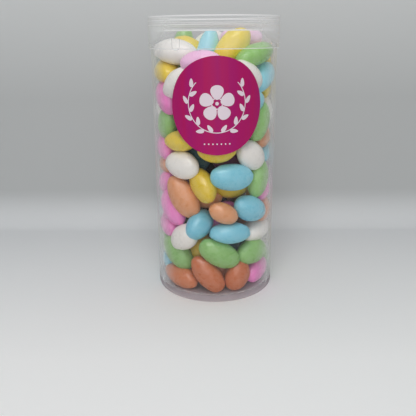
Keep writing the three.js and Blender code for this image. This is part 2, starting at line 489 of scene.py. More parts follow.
# %% Blossom
PETALS = 5
PETAL = (8.0, 7.2, 0.5)
PETAL_CIRCLE = 6.1
SEED = (0.8, 0.8)
SEED_CIRCLE = 3.0
HEART = (2.0, 2.0)
for petal in range(PETALS):
    angle = 90 + 360 * petal / PETALS
    placed(egg(*PETAL), *on_circle(PETAL_CIRCLE, angle), angle)
    placed(egg(*SEED), *on_circle(SEED_CIRCLE, angle + 180 / PETALS))
placed(egg(*HEART), *on_circle(0, 0))
print("the blossom has", len(marks), "marks")

# %% Wreath and dots
STEM_RADIUS = 16.4
STEM_WIDTH = 0.5
STEM_TOP = 11.5
LEAVES = 8
LEAF = (4.8, 2.3, -0.55)
LEAF_ASIDE = 1.9
LEAF_LEAN = 38
LOWEST_LEAF = -74
LEAF_STEP = 16
DOT = (0.9, 0.9)
DOT_STEP = 2.4
DOT_HEIGHT = -21
placed(open_ring(STEM_RADIUS, STEM_WIDTH, STEM_TOP), *on_circle(0, 0))
for step in range(LEAVES):
    outward = 1 if step % 2 else -1
    climb = LOWEST_LEAF + LEAF_STEP * step
    lean = climb + 90 - LEAF_LEAN * outward
    x, z = on_circle(STEM_RADIUS + LEAF_ASIDE * outward, climb)
    placed(egg(*LEAF), x, z, lean)
    placed(egg(*LEAF), -x, z, 180 - lean)
for dot in range(-3, 4):
    placed(egg(*DOT), DOT_STEP * dot, DOT_HEIGHT)
only(*marks)
bpy.ops.object.join()
ink = started("sticker_print")
bent_on(ink)

# %% [markdown]
# ## The heap
# Loose almonds lie where they were poured: each leans its own way and touches its
# neighbours and the wall. They could be dropped in by a simulation, but then none would lie
# where it should show. So the ones at the front are placed one by one, the rest are scattered
# from a fixed seed, and a short settling then pushes apart whatever overlaps.

# %% The almonds that show at the front
# Each line: colour, place in mm (x, y, z), size in mm (length, width, thickness), then in
# degrees the lean of the long axis, the roll about it, and the turn from lying along the wall.
FRONT = [
    ("white", (-23, -11.5, 149.4), (28, 16, 13.5), -8, 40, 45),
    ("green", (-19, 9, 151), (25, 15, 12.5), 78, 90, 115),
    ("yellow", (-14.5, -1, 150), (22, 15, 12), -35, 0, 80),
    ("blue", (-3.8, -9, 150.3), (26, 15, 12), 76, 80, 20),
    ("white", (-3.5, 9, 152.5), (22, 15, 12.5), 25, 0, 170),
    ("yellow", (11.5, -16, 152.6), (27, 15.5, 13), 46, 0, -26),
    ("pink", (15.5, 3, 157), (26, 14, 12), 0, 30, -100),
    ("green", (23, -18.4, 147.6), (27.5, 15, 12), 15, 70, -15),
    ("pink", (-7.5, -29, 143.6), (26, 15, 12.5), -4, 0, 0),
    ("yellow", (29, 3, 144), (24, 15, 12.5), 15, 0, 0),
    ("white", (20.8, -24.5, 137.6), (24, 15, 12.5), -32, 0, 0),
    ("blue", (29.6, -10, 135.2), (22, 14, 12), 38, 0, -20),
    ("yellow", (-29.3, -7, 138), (24, 15.5, 12.6), -10, 90, 0),
    ("white", (-22.8, -23.5, 133.2), (25, 15, 12.5), 32, 0, 0),
    ("pink", (-29.6, -13.4, 124), (25, 15, 12.5), -38, 0, 0),
    ("yellow", (30, 4, 126.5), (23, 15, 12), 5, 0, 0),
    ("blue", (20.8, -21.5, 123.5), (24, 15, 12.5), 0, 0, 0),
    ("green", (26.6, -15.6, 110), (25, 15.5, 12.5), 60, 0, 0),
    ("white", (31, 1, 113.5), (20, 14, 12), 80, 0, 0),
    ("green", (-28.8, -9, 108.8), (24, 16, 12.5), 60, 0, 0),
    ("orange", (29.3, -4, 99.8), (22, 14.5, 12.5), 12, 0, 0),
    ("yellow", (-20.8, -20.4, 99), (24.8, 15, 12.6), 10, 75, 0),
    ("pink", (-29.3, -5.5, 93.7), (24, 15, 12.5), -20, 0, 0),
    ("blue", (30, 3, 88), (23, 15, 12.5), 5, 0, 0),
    ("white", (22, -20.8, 89.2), (24, 17, 13), -35, 0, 0),
    ("yellow", (1.5, -30, 96), (23.5, 15.5, 12.5), 3, 0, 0),
    ("white", (-18.6, -23.6, 84), (24.8, 16.6, 13), -3, 0, 0),
    ("orange", (-28.6, -4.5, 82), (21, 15, 12), 0, 80, 0),
    ("blue", (9.6, -29, 79.2), (27.4, 16.4, 12.5), -5, 0, 0),
    ("green", (27, -14.8, 75), (25, 16, 13), 70, 0, 0),
    ("yellow", (-8, -26.5, 75), (24.5, 16, 13.5), -42, 0, -35),
    ("yellow", (9, -16, 69), (24, 15, 12.5), -5, 0, 0),
    ("orange", (-19.6, -22.8, 63.6), (29, 16.7, 13), -58, 0, 25),
    ("pink", (-29.8, -4, 69.3), (23, 15, 12.5), 40, 0, 0),
    ("pink", (-26.3, -14.8, 56.6), (25, 15, 12.5), -50, 0, 15),
    ("orange", (-5.5, -16, 63.6), (25, 15, 12.5), 5, 0, 0),
    ("orange", (5.4, -29.3, 56.6), (19.5, 12.5, 12), -26, 0, 0),
    ("blue", (22.4, -21, 57.2), (24, 16, 13), -24, 0, -15),
    ("pink", (29.8, -3.5, 63.5), (23, 15, 12), 10, 0, 0),
    ("orange", (29.8, -5, 52), (21, 15, 12.5), 25, 0, 0),
    ("blue", (-10.2, -24.5, 47.2), (22, 16.5, 14), 25, 0, 70),
    ("white", (-18.8, -23.5, 38.5), (22.5, 16, 13), 35, 0, 0),
    ("blue", (9, -27.5, 42.5), (26.8, 16, 13), -3, 90, 0),
    ("white", (26.2, -12, 39.3), (24, 16, 13), 8, 80, -10),
    ("pink", (-29, -8, 42), (23, 15, 12.5), -15, 0, 0),
    ("green", (-23.5, -18.5, 27), (26, 16, 13), -45, 0, 20),
    ("green", (3.1, -29.3, 29.6), (28, 16.3, 12.8), -30, 0, 0),
    ("green", (23.8, -19.5, 27.2), (23.5, 16.5, 13), 5, 0, -10),
    ("blue", (-29, -3, 15), (24, 15, 12.5), 20, 0, 0),
    ("yellow", (-10, -16, 27), (24, 15, 12), 50, 0, 0),
    ("orange", (-22.6, -19.6, 12), (27, 13.5, 13), -8, 0, 8),
    ("orange", (-4.3, -29.3, 15.8), (27.4, 15.5, 13), -50, 0, 0),
    ("orange", (15, -25.6, 13.6), (20.5, 16.5, 13), 65, 0, 0),
    ("pink", (26.3, -14, 12.2), (23, 14.5, 12.5), 15, 0, 0),
    ("orange", (6, -16, 14), (24, 14, 12), 10, 0, 0),
    ("pink", (2, -16, 50), (24, 14, 12), 30, 0, 0),
]
print(len(FRONT), "almonds placed by hand")

# %% How each one lies
COLOURS = ["white", "pink", "yellow", "blue", "green", "orange"]
PLACED_GIVES_WAY = 0.12
SCATTERED_GIVES_WAY = 1.0


def pose(place, lean, roll, turn):
    """The three axes of an almond as columns: its length, its thickness and its width."""
    bearing = math.atan2(place[0], -place[1])
    return np.array(
        Matrix.Rotation(bearing + math.radians(turn), 3, "Z")
        @ Matrix.Rotation(math.radians(-lean), 3, "Y")
        @ Matrix.Rotation(math.radians(roll), 3, "X")
    )


almonds = []
for colour, place, (length, width, thickness), lean, roll, turn in FRONT:
    half = np.array((length, thickness, width)) / 2
    almonds.append((colour, np.array(place, float), half, pose(place, lean, roll, turn), PLACED_GIVES_WAY))
middle_heights = [almond[1][2] for almond in almonds]
print("their middles stand", min(middle_heights), "to", max(middle_heights), "mm high")

# %% [markdown]
# Behind and between the placed ones the heap only has to look as full. Rings of scattered
# almonds line the wall, a second layer lies inside the first, and one is left out wherever
# a placed almond already takes the room. The seed is fixed, so the heap is always the same.

# %% The almonds that are scattered
draw = random.Random(7)
RING_STEP = 14.4
LOWEST_RING = 12.5
RINGS = 10
WALL_COUNT = 12
WALL_PLACE = 29.5
INNER_PLACE = 15.5
INNER_COUNT = 5
INNER_LIFT = 2
ROOM_NEEDED = 14.5
MOST_LEAN, MOST_LEAN_AT_TOP = 70, 15


def scattered(bearing, radius, height, most_lean):
    """A random almond near one place, added unless a placed one is there already."""
    angle = math.radians(bearing + draw.uniform(-5, 5))
    place = (radius * math.sin(angle), -radius * math.cos(angle), height + draw.uniform(-2, 2))
    length = draw.uniform(22.5, 27)
    half = np.array((length, length * draw.uniform(0.47, 0.52), length * draw.uniform(0.58, 0.64))) / 2
    lean = most_lean * draw.uniform(-1, 1)
    axes = pose(place, lean, draw.uniform(-25, 25), draw.uniform(-12, 12))
    colour = draw.choice(COLOURS)
    near = min(np.linalg.norm(np.array(place) - other[1]) for other in almonds)
    if near > ROOM_NEEDED:
        almonds.append((colour, np.array(place, float), half, axes, SCATTERED_GIVES_WAY))


for ring in range(RINGS):
    height = LOWEST_RING + ring * RING_STEP
    most_lean = MOST_LEAN if ring < RINGS - 1 else MOST_LEAN_AT_TOP
    aside = 0.5 * (ring % 2)
    for step in range(WALL_COUNT):
        scattered(360 * (step + aside) / WALL_COUNT, WALL_PLACE, height, most_lean)
    for step in range(INNER_COUNT):
        scattered(360 * (step + aside) / INNER_COUNT, INNER_PLACE, height + INNER_LIFT, most_lean)
print(len(almonds), "almonds in all")

# %% [markdown]
# Two almonds can't share a place. Each is taken as an ellipsoid with dots spread over it. A
# dot that lies inside a neighbour, or past the wall, the floor or the lid, pushes its almond
# out and turns it a little. The dots stand a golden angle apart, which spreads them evenly.

# %% Dots on every almond
DOTS = 60
turns = np.arange(DOTS) * math.pi * (3 - math.sqrt(5))
levels = 1 - (2 * np.arange(DOTS) + 1) / DOTS
rings = np.sqrt(1 - levels**2)
dots = np.stack([rings * np.cos(turns), rings * np.sin(turns), levels], 1)

centre = np.array([a[1] for a in almonds])
half = np.array([a[2] for a in almonds])
axes = np.array([a[3] for a in almonds])
loose = np.array([a[4] for a in almonds])
count = len(almonds)
everyone = np.arange(count)


def spread():
    """Where the dots of every almond are, in mm."""
    return centre[:, None] + np.einsum("nij,nmj->nmi", axes, dots[None] * half[:, None])


print(count, "almonds with", DOTS, "dots each")

# %% Finding the overlaps
LEAST_DEPTH = 0.2


def overlaps(world):
    """For each pair that overlaps: who, whom, the mean push on the first and its mean place."""
    apart = np.linalg.norm(centre[:, None] - centre[None], axis=2)
    reach = half.max(1)
    first, second = np.nonzero((apart < reach[:, None] + reach[None]) & (apart > 0))
    inside = np.einsum("pmi,pij->pmj", world[first] - centre[second][:, None], axes[second])
    inside /= half[second][:, None]
    depth = np.linalg.norm(inside, axis=2, keepdims=True)
    hit = (depth < 1)[..., 0]
    out = inside * (1 / np.maximum(depth, LEAST_DEPTH) - 1)
    push = np.where(depth < 1, out, 0) * half[second][:, None]
    push = np.einsum("pij,pmj->pmi", axes[second], push)
    hits = hit.sum(1)
    keep = hits > 0
    number = hits[keep][:, None]
    mean_push = push[keep].sum(1) / number
    mean_place = (world[first[keep]] * hit[keep][..., None]).sum(1) / number
    return first[keep], second[keep], mean_push, mean_place


print(len(overlaps(spread())[0]), "overlaps to settle")

# %% Walls, floor and lid
WALL_AT = (JAR_RADIUS - WALL) / MM - 0.45
FLOOR_AT = FLOOR_TOP / MM + 0.25
LID_AT = heap_high.z / MM - 0.1
BACK_TOP = 156
CORE_AT = 7.0
CORE_PUSH = 0.5
LEVEL = np.array((1, 1, 0))
ceiling = np.where(loose < 1, LID_AT, BACK_TOP)


def off_the_wall(world):
    """Each almond's outermost dot, and the push that brings it back inside the wall."""
    radius = np.hypot(world[..., 0], world[..., 1])
    far = radius.argmax(1)
    over = np.maximum(radius[everyone, far] - WALL_AT, 0)
    outermost = world[everyone, far]
    return outermost, -outermost * LEVEL / radius[everyone, far][:, None] * over[:, None]


def off_the_core(world):
    """The push that keeps an almond clear of the middle of the jar."""
    radius = np.hypot(world[..., 0], world[..., 1])
    outward = np.maximum(CORE_AT - radius.min(1), 0)[:, None]
    flat = centre * LEVEL
    return CORE_PUSH * outward * flat / (np.linalg.norm(flat, axis=1, keepdims=True) + 1e-9)


def turn_by(axes, spin):
    """Turns each set of axes by a small rotation vector."""
    angle = np.linalg.norm(spin, axis=1, keepdims=True) + 1e-12
    x, y, z = (spin / angle).T
    zero = np.zeros(count)
    cross = np.stack([zero, -z, y, z, zero, -x, -y, x, zero], 1).reshape(-1, 3, 3)
    s, c = np.sin(angle)[..., None], np.cos(angle)[..., None]
    rotation = np.eye(3) + s * cross + (1 - c) * cross @ cross
    return rotation @ axes


print(f"almonds stay within {WALL_AT:.1f} mm of the axis, from {FLOOR_AT:.1f} to {LID_AT:.1f} mm high")

# %% [markdown]
# In each round every push is shared between the two that touch: a placed almond gives way
# much less than a scattered one, and is drawn back to its home. Only scattered ones turn. A
# few last rounds bring in whatever still stands past the wall.

# %% Settling
ROUNDS = 300
LAST_ROUNDS = 10
STRIDE = 0.45
HOLD = 0.35
home = centre.copy()
placed_one = (loose < 1)[:, None]
lever = 1 / (half[:, :1] ** 2)
for step in range(ROUNDS):
    world = spread()
    who, whom, push, place = overlaps(world)
    move = np.zeros((count, 3))
    spin = np.zeros((count, 3))
    share = (loose[who] / (loose[who] + loose[whom]))[:, None]
    other = (loose[whom] / (loose[who] + loose[whom]))[:, None]
    np.add.at(move, who, push * share)
    np.add.at(move, whom, -push * other)
    np.add.at(spin, who, np.cross(place - centre[who], push) * share * lever[who])
    np.add.at(spin, whom, np.cross(place - centre[whom], -push) * other * lever[whom])
    outermost, inward = off_the_wall(world)
    move += inward + off_the_core(world)
    spin += np.cross(outermost - centre, inward) * lever
    move[:, 2] += np.maximum(FLOOR_AT - world[..., 2].min(1), 0)
    move[:, 2] -= np.maximum(world[..., 2].max(1) - ceiling, 0)
    centre += STRIDE * move + HOLD * placed_one * (home - centre)
    axes = turn_by(axes, STRIDE * spin * ~placed_one)
    axes = np.linalg.qr(axes)[0] * np.sign(np.einsum("nii->ni", np.linalg.qr(axes)[1]))[:, None]
for step in range(LAST_ROUNDS):
    centre += off_the_wall(spread())[1]
who, whom, push, place = overlaps(spread())
moved = np.linalg.norm(centre - home, axis=1)[: len(FRONT)]
print(f"deepest overlap {np.linalg.norm(push, axis=1).max():.2f} mm over {len(who)} touches,",
      f"placed ones moved {moved.mean():.1f} mm on average and {moved.max():.1f} mm at most")

# %% [markdown]
# ## One almond
# A sugared almond is an egg with one blunt end, pressed flatter, with soft dents where the
# sugar built up unevenly. It could be sculpted, but a few exact steps can be repeated: a
# ball of even triangles, a taper that narrows one end, and a displacement over slow noise for
# the dents. A few blanks differ, so that the copies do.

# %% Blanks
BLANKS = 6
TAPER = 0.08
TAPER_STEP = 0.03
DENT = 0.11
DENT_STEP = 5.3
dents = bpy.data.textures.new("dents", "CLOUDS")
dents.noise_scale = 0.75
dents.noise_depth = 1


def blank(index):
    """An egg of length, width and thickness two, with dents of its own."""
    bpy.ops.object.select_all(action="DESELECT")
    bpy.ops.mesh.primitive_ico_sphere_add(subdivisions=4, radius=1)
    piece = started(f"blank_{index}")
    taper = TAPER + TAPER_STEP * (index % 3)
    apply_modifier(piece, "SIMPLE_DEFORM", deform_method="TAPER", deform_axis="X", factor=taper)
    aside = Vector((DENT_STEP * index + 1, 0, 0))
    edit(piece)
    bpy.ops.transform.translate(value=aside)
    leave_edit()
    apply_modifier(piece, "DISPLACE", texture=dents, strength=DENT, mid_level=0.5, texture_coords="LOCAL")
    edit(piece)
    bpy.ops.transform.translate(value=-aside)
    leave_edit()
    only(piece)
    bpy.ops.object.shade_smooth()
    return piece


blanks = [blank(index) for index in range(BLANKS)]
print(len(blanks), "blanks of", len(blanks[0].data.polygons), "faces")

# %% [markdown]
# Each almond in the heap is a copy of a blank, stretched to its own size and brought to its
# place. It carries two numbers for its finish: its tone, which is painted lighter towards the
# lid, as light from above, and differs a little from one to the next, and whether it lies
# buried, which paints it in shade. Instances would be lighter on memory, but they can't carry
# a size and a tone into one joined piece.

# %% Copies joined by colour
HALF_HEIGHT = JAR_HEIGHT / MM / 2
# Painted light: the tone rises towards the lid, as if lit from above; the spread is each almond's own.
PAINTED_LIGHT_RISE = 0.7
TONE_SPREAD = 0.15
INNER_EDGE = 22
OPEN_TOP = 140
# Placed almonds, by their line in the list, that are clearly lighter or deeper than the rest,
# partly in their own colour and partly in painted light and shade.
SHADES = {
    5: 0.3, 7: 0.2, 8: 0.15, 12: -0.45, 14: -0.45, 25: -0.2, 30: -0.25, 32: 0.25, 36: 0.15,
    40: -0.25, 45: -0.4, 46: -0.25, 51: -0.3, 52: -0.3,
}


def heap_of(colour):
    """Every almond of one colour, joined to one mesh."""
    copies = []
    for index, (name, _, _, _, _) in enumerate(almonds):
        if name != colour:
            continue
        copy = blanks[index % BLANKS].copy()
        copy.data = copy.data.copy()
        bpy.context.collection.objects.link(copy)
        size = Matrix.Diagonal((*half[index], 1))
        turn = Matrix(axes[index].tolist()).to_4x4()
        copy.data.transform(Matrix.Scale(MM, 4) @ Matrix.Translation(centre[index]) @ turn @ size)
        tone = copy.data.attributes.new("tone", "FLOAT", "POINT")
        x, y, z = centre[index]
        # Higher up the tone is lighter, which is painted light from above.
        lift = PAINTED_LIGHT_RISE * (z / HALF_HEIGHT - 1) + TONE_SPREAD * draw.uniform(-1, 1)
        lift += SHADES.get(index, 0)
        tone.data.foreach_set("value", [lift] * len(copy.data.vertices))
        # Scattered almonds deep in the heap are marked buried, and the finish paints them in shade.
        buried = copy.data.attributes.new("buried", "FLOAT", "POINT")
        inner = index >= len(FRONT) and math.hypot(x, y) < INNER_EDGE and z < OPEN_TOP
        buried.data.foreach_set("value", [float(inner)] * len(copy.data.vertices))
        copies.append(copy)
    only(*copies)
    bpy.ops.object.join()
    joined = started(f"almonds_{colour}")
    print(joined.name, len(copies), "almonds,", len(joined.data.polygons), "faces")
    return joined


heaps = {colour: heap_of(colour) for colour in COLOURS}
for piece in blanks:
    bpy.data.objects.remove(piece)

# %% [markdown]
# What lies deep inside is never seen, but light must not fall straight through the heap. A
# rough lump fills the middle: a cylinder remeshed to even squares and pushed in and out by
# noise. More almonds would do the same with far more faces.

# %% Core
CORE_BOTTOM, CORE_TOP = 9 * MM, 138 * MM
CORE_RADIUS = 8 * MM
CORE_GRAIN = 2 * MM
LUMP_WIDTH = 12 * MM
LUMP_DEPTH = 5 * MM
bpy.ops.object.select_all(action="DESELECT")
bpy.ops.mesh.primitive_cylinder_add(
    vertices=24, radius=CORE_RADIUS, depth=CORE_TOP - CORE_BOTTOM,
    location=(0, 0, (CORE_TOP + CORE_BOTTOM) / 2))
bpy.ops.object.transform_apply(location=True)
core = started("heap_core")
apply_modifier(core, "REMESH", mode="VOXEL", voxel_size=CORE_GRAIN)
lumps = bpy.data.textures.new("lumps", "CLOUDS")
lumps.noise_scale = LUMP_WIDTH
apply_modifier(core, "DISPLACE", texture=lumps, strength=LUMP_DEPTH, mid_level=0.5, texture_coords="LOCAL")
bpy.ops.object.shade_smooth()
print("core has", len(core.data.polygons), "faces")

# %% [markdown]
# ## Finishes
# Colours are given as they look on a screen and turned into the linear values a shader
# wants. A finish could be painted as an image, but nodes stay sharp at any distance and need
# no file. Effects that several materials share are groups of nodes with named sockets.

# %% Colours and nodes
def screen(red, green, blue):
    """A colour read off a screen, 0 to 255, as a linear colour."""
    def linear(value):
        value /= 255
        return value / 12.92 if value <= 0.04045 else ((value + 0.055) / 1.055) ** 2.4
    return (linear(red), linear(green), linear(blue), 1)


def add(tree, kind, inputs=(), **settings):
    """A node with its settings, and its inputs set to a value or joined to a socket."""
    node = tree.nodes.new(kind)
    for key, value in settings.items():
        setattr(node, key, value)
    for key, value in dict(inputs).items():
        if isinstance(value, bpy.types.NodeSocket):
            tree.links.new(value, node.inputs[key])
        else:
            node.inputs[key].default_value = value
    return node


def group(name, inputs, outputs):
    """An empty group of nodes with named sockets."""
    tree = bpy.data.node_groups.new(name, "ShaderNodeTree")
    for label, kind in inputs:
        tree.interface.new_socket(name=label, in_out="INPUT", socket_type=kind)
    for label, kind in outputs:
        tree.interface.new_socket(name=label, in_out="OUTPUT", socket_type=kind)
    return tree, tree.nodes.new("NodeGroupInput"), tree.nodes.new("NodeGroupOutput")


# %% Materials
def material(name):
    """A material with its node tree and its one surface shader."""
    made = bpy.data.materials.new(name)
    made.use_nodes = True
    return made, made.node_tree, made.node_tree.nodes["Principled BSDF"]


def wear(piece, made, slot, *nodes):
    """Gives a piece its material and ties it to the frame."""
    piece.data.materials.clear()
    piece.data.materials.append(made)
    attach(piece, "root")
    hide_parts(*nodes)


# %% Mixing, mapping and noise
COLOUR, FLOAT = "NodeSocketColor", "NodeSocketFloat"
MIX_FACTOR, MIX_FIRST, MIX_SECOND, MIX_COLOUR = 0, 6, 7, 2


def mixed(tree, factor, first, second, blend="MIX"):
    """A colour mixed from two."""
    inputs = {MIX_FACTOR: factor, MIX_FIRST: first, MIX_SECOND: second}
    return add(tree, "ShaderNodeMix", inputs, data_type="RGBA", blend_type=blend).outputs[MIX_COLOUR]


def mapped(tree, value, low, high, to_low, to_high):
    """A number carried from one range to another, and kept inside it."""
    inputs = {"Value": value, "From Min": low, "From Max": high, "To Min": to_low, "To Max": to_high}
    return add(tree, "ShaderNodeMapRange", inputs).outputs["Result"]


def worked(tree, operation, first, second=0.0, clamp=False):
    """A number worked out from one or two others."""
    inputs = {0: first, 1: second}
    return add(tree, "ShaderNodeMath", inputs, operation=operation, use_clamp=clamp).outputs[0]


def noise(tree, where, scale, detail):
    """Soft noise from 0 to 1, with this many waves in a metre."""
    inputs = {"Vector": where, "Scale": scale, "Detail": detail}
    return add(tree, "ShaderNodeTexNoise", inputs).outputs["Fac"]


# %% [markdown]
# Hard sugar is smooth but never even. Faint pale clouds of a few millimetres lie in the
# colour where the last coat dried, with fine grain in them. Low in the jar each colour is
# drawn towards its own gamma, deeper and darker, which is painted shade, higher up the tone
# lightens it, which is painted light, and almonds that lie buried are painted dim, as shade.
# Each colour could have a shader of its own, but one group can be put right in one place.

# %% Clouds, grain and colour deepened by painted shade
CLOUD_WAVES = 300
GRAIN_WAVES = 1100
DIMPLE_WAVES = 200
SHADE_GAMMA = 3
CLOUD_COLOUR = (0.85, 0.85, 0.84, 1)
SPECK_COLOUR = (0.95, 0.95, 0.95, 1)
sugar, given, result = group(
    "sugar_shell",
    [("Colour", COLOUR), ("Depth", FLOAT), ("Tone", FLOAT), ("Buried", FLOAT)],
    [("Colour", COLOUR), ("Roughness", FLOAT), ("Height", FLOAT)])
where = add(sugar, "ShaderNodeTexCoord").outputs["Object"]
clouds = noise(sugar, where, CLOUD_WAVES, 3)
grain = noise(sugar, where, GRAIN_WAVES, 2)
dimples = noise(sugar, where, DIMPLE_WAVES, 1)
# Painted shade: the coat is drawn towards its gamma, deeper and darker, the lower its tone.
colour_in_shade = add(sugar, "ShaderNodeGamma", {"Color": given.outputs["Colour"], "Gamma": SHADE_GAMMA}).outputs["Color"]
deepening_in_shade = mapped(sugar, given.outputs["Tone"], -0.83, 0.6, 1.3, 0)
depth = worked(sugar, "MULTIPLY", deepening_in_shade, given.outputs["Depth"], clamp=True)
coat = mixed(sugar, depth, given.outputs["Colour"], colour_in_shade)
pale = mixed(sugar, mapped(sugar, clouds, 0.45, 0.75, 0, 0.07), coat, CLOUD_COLOUR)
speckled = mixed(sugar, mapped(sugar, grain, 0.55, 0.75, 0, 0.06), pale, SPECK_COLOUR)
print("the coat reads", [socket.name for socket in given.outputs if socket.name])

# %% Painted light and shade, roughness and height of the sugar
# Painted light and shade: a low tone darkens, a high tone lightens, and buried almonds are painted dim.
painted_light_and_tone = mapped(sugar, given.outputs["Tone"], -1, 1, 0.77, 1.15)
buried_shade = mapped(sugar, given.outputs["Buried"], 0, 1, 1, 0.2)
shade = worked(sugar, "MULTIPLY", painted_light_and_tone, buried_shade)
grey = add(sugar, "ShaderNodeCombineColor", {0: shade, 1: shade, 2: shade}).outputs[0]
tone_and_painted_shade = mixed(sugar, 1, speckled, grey, "MULTIPLY")
height = worked(sugar, "ADD", dimples, mapped(sugar, grain, 0, 1, 0, 0.3))
rough = mapped(sugar, clouds, 0.3, 0.7, 0.24, 0.36)
for label, value in [("Colour", tone_and_painted_shade), ("Roughness", rough), ("Height", height)]:
    sugar.links.new(value, result.inputs[label])
print("the shell gives", [socket.name for socket in result.inputs if socket.name])

# %% [markdown]
# Six colours wear the same shell, each with its value near the lid and how much deeper its
# painted shade makes it towards the foot. Under the skin a little light travels, which softens
# the shadows as in real sugar, so a touch of subsurface is set on the shader itself.

# %% Six sugar colours
# Each entry: the colour near the lid, and how strongly painted shade deepens it towards the foot.
SUGAR_COLOURS = {
    "white": ((248, 243, 236), 0.05),
    "pink": ((253, 208, 238), 2.4),
    "yellow": ((243, 216, 70), 0.26),
    "blue": ((158, 225, 239), 0.42),
    "green": ((150, 200, 116), 0.06),
    "orange": ((236, 176, 124), 0.58),
}
COAT_RELIEF = 0.3 * MM
SUBSURFACE = 0.12
SUBSURFACE_REACH = 1.2 * MM
for colour, piece in heaps.items():
    made, tree, shader = material(f"sugar_{colour}")
    tone = add(tree, "ShaderNodeAttribute", attribute_name="tone").outputs["Fac"]
    buried = add(tree, "ShaderNodeAttribute", attribute_name="buried").outputs["Fac"]
    shell = add(tree, "ShaderNodeGroup", node_tree=sugar)
    value, depth = SUGAR_COLOURS[colour]
    shell.inputs["Colour"].default_value = screen(*value)
    shell.inputs["Depth"].default_value = depth
    tree.links.new(tone, shell.inputs["Tone"])
    tree.links.new(buried, shell.inputs["Buried"])
    dents_in_coat = {"Height": shell.outputs["Height"], "Distance": COAT_RELIEF, "Strength": 0.8}
    bump = add(tree, "ShaderNodeBump", dents_in_coat)
    tree.links.new(shell.outputs["Colour"], shader.inputs["Base Color"])
    tree.links.new(shell.outputs["Roughness"], shader.inputs["Roughness"])
    tree.links.new(bump.outputs["Normal"], shader.inputs["Normal"])
    shader.inputs["Subsurface Weight"].default_value = SUBSURFACE
    shader.inputs["Subsurface Radius"].default_value = (1.0, 0.9, 0.8)
    shader.inputs["Subsurface Scale"].default_value = SUBSURFACE_REACH
    wear(piece, made, "sugar_shell", "almonds")
print(len(heaps), "sugar colours")

# %% [markdown]
# The sheet is matt and pale, and painted light lies in its colour: nearly white in front,
# greyer towards the bend and greyer still up the wall, as the light falls off behind, and
# lighter again high up the wall. A lamp with a flag could do that, but colours along Y and Z
# are easier to steer. Seen from behind it is clear, so that it hides nothing.

# %% Sheet of the sweep
SHEET_NEAR_LIT, SHEET_FAR_SHADED = (254, 255, 255), (224, 226, 228)
SHEET_WALL_SHADED, SHEET_TOP_LIT = (190, 192, 192), (212, 214, 214)
made, tree, shader = material("pale_sheet")
where = add(tree, "ShaderNodeTexCoord").outputs["Object"]
split = add(tree, "ShaderNodeSeparateXYZ", {"Vector": where})
# Painted light and shade: the floor greys away from the front, the wall is darker and lighter again near its
# top.
far = mapped(tree, split.outputs["Y"], -0.1, 0.09, 0, 1)
high = mapped(tree, split.outputs["Z"], 0.0, 0.03, 0, 1)
top = mapped(tree, split.outputs["Z"], 0.11, 0.19, 0, 1)
floor_with_painted_falloff = mixed(tree, far, screen(*SHEET_NEAR_LIT), screen(*SHEET_FAR_SHADED))
wall_with_painted_shade = mixed(tree, top, screen(*SHEET_WALL_SHADED), screen(*SHEET_TOP_LIT))
colour = mixed(tree, high, floor_with_painted_falloff, wall_with_painted_shade)
tree.links.new(colour, shader.inputs["Base Color"])
shader.inputs["Roughness"].default_value = 0.7
behind = add(tree, "ShaderNodeNewGeometry").outputs["Backfacing"]
unseen = add(tree, "ShaderNodeBsdfTransparent")
one_sided = add(tree, "ShaderNodeMixShader", {0: behind, 1: shader.outputs[0], 2: unseen.outputs[0]})
tree.links.new(one_sided.outputs[0], tree.nodes["Material Output"].inputs["Surface"])
sweep.data.materials.append(made)
print("the sheet wears", made.name)

# %% [markdown]
# The lump inside stands for the shadow between the almonds. Plain dark brown is enough,
# because only specks of it show. Black would look like a hole.

# %% Dark inside of the heap
HEAP_SHADOW = (48, 36, 34)
made, tree, shader = material("heap_shadow")
shader.inputs["Base Color"].default_value = screen(*HEAP_SHADOW)
shader.inputs["Roughness"].default_value = 1
wear(core, made, "sugar_shell", "almonds")
print("the core wears", made.name)

# %% [markdown]
# The plastic is clear and smooth. Seen at a slant it turns milky, partly as cloudy plastic
# and partly as painted reflection. The thick foot is milky in a mauve grey that paints the
# shade seen through it, and every moulded edge is a white line, partly milky plastic and partly
# a painted highlight. A plain glass shader is too clean and keeps the lamps out. So glass is
# mixed with a thin veil of milk, and lamps pass straight through, as they nearly do through a
# real thin wall.

# %% Milky zones, painted highlights and painted shade
BARE_MILK = (0.98, 0.98, 0.98, 1)


def frost_and_painted_lines(tree, zones):
    """How milky the plastic is at each place, and the colour there, with which some zones paint
    highlights and shade.

    Each zone says along which way it is measured, its middle, how far it reaches to both
    sides of that, over how much it fades, and its colour."""
    where = add(tree, "ShaderNodeTexCoord").outputs["Object"]
    height = add(tree, "ShaderNodeSeparateXYZ", {"Vector": where}).outputs["Z"]
    across = add(tree, "ShaderNodeVectorMath", {0: where, 1: (1, 1, 0)}, operation="MULTIPLY").outputs[0]
    radius = add(tree, "ShaderNodeVectorMath", {0: across}, operation="LENGTH").outputs["Value"]
    measured = {"height": height, "radius": radius}
    frost_and_lines, colour = 0.0, BARE_MILK
    for way, middle, reach, fade, zone_colour in zones:
        away = worked(tree, "ABSOLUTE", worked(tree, "SUBTRACT", measured[way], middle))
        zone = mapped(tree, away, reach, reach + fade, 1, 0)
        frost_and_lines = worked(tree, "MAXIMUM", frost_and_lines, zone)
        colour = mixed(tree, zone, colour, zone_colour)
    return height, frost_and_lines, colour


# %% Clear plastic
PLASTIC_TINT = (0.995, 0.995, 1, 1)
PLASTIC_ROUGHNESS = 0.03
PLASTIC_IOR = 1.35


